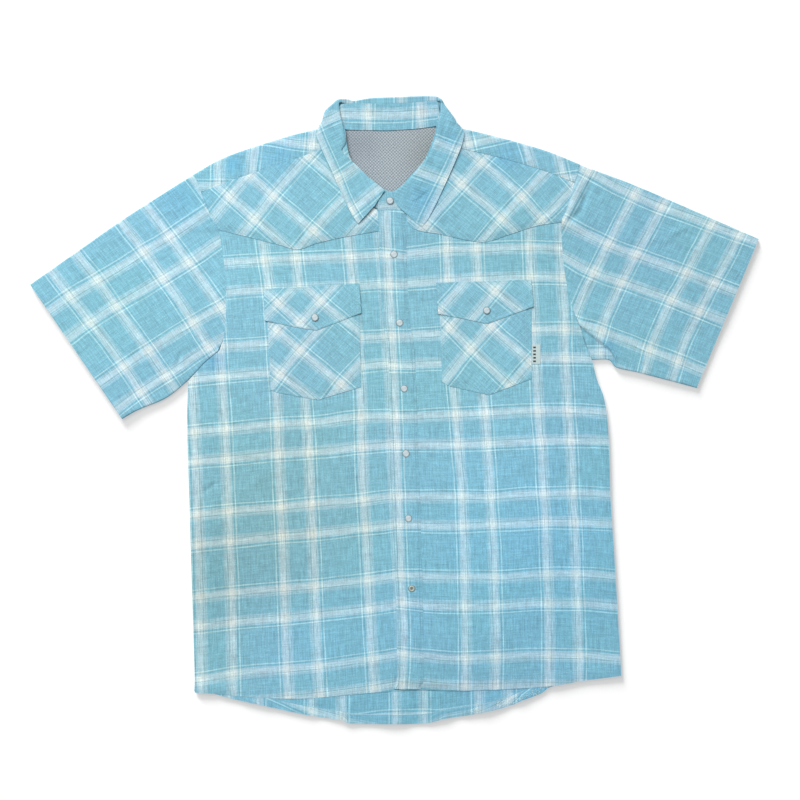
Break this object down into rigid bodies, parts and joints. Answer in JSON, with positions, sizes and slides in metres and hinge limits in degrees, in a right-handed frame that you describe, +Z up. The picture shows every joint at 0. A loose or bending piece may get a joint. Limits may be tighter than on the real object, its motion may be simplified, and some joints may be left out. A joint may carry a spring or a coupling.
{
  "type": "fishing shirt laid flat",
  "caption": "Short-sleeved western fishing shirt in plaid cotton, laid flat on its back and snapped shut, with pointed yokes, flapped chest pockets and a soft turned-down collar.",
  "frame": {"origin": "centre of the laid-out shirt's footprint, on the surface it lies on", "axes": "+Y towards the collar, +X towards the wearer's left sleeve, +Z up out of the shirt's front"},
  "size_m": [0.9478, 0.8168, 0.0129],
  "materials": {
    "plaid_cotton": "matt plain-weave cotton, light blue with paler plaid bands",
    "grey_mesh": "matt grey mesh lining",
    "woven_tab": "matt cream woven ribbon, without its name",
    "pearl_snap": "glossy pearl cap in a satin metal ring"
  },
  "bodies": {
    "root": {"back": "plaid_cotton", "back_yoke": "plaid_cotton", "collar_fall": "plaid_cotton", "collar_stand": "plaid_cotton", "flap_left": "plaid_cotton", "flap_right": "plaid_cotton", "front_left": "plaid_cotton", "front_right": "plaid_cotton", "front_yoke_left": "plaid_cotton", "front_yoke_right": "plaid_cotton", "placket": "plaid_cotton", "pocket_left": "plaid_cotton", "pocket_right": "plaid_cotton", "sleeve_left": "plaid_cotton", "sleeve_right": "plaid_cotton", "snap_front_1": "pearl_snap", "snap_front_2": "pearl_snap", "snap_front_3": "pearl_snap", "snap_front_4": "pearl_snap", "snap_front_5": "pearl_snap", "snap_front_6": "pearl_snap", "snap_pocket_left": "pearl_snap", "snap_pocket_right": "pearl_snap", "snap_stand": "pearl_snap", "tab": "woven_tab", "yoke_lining": "grey_mesh"}
  },
  "joints": []
}
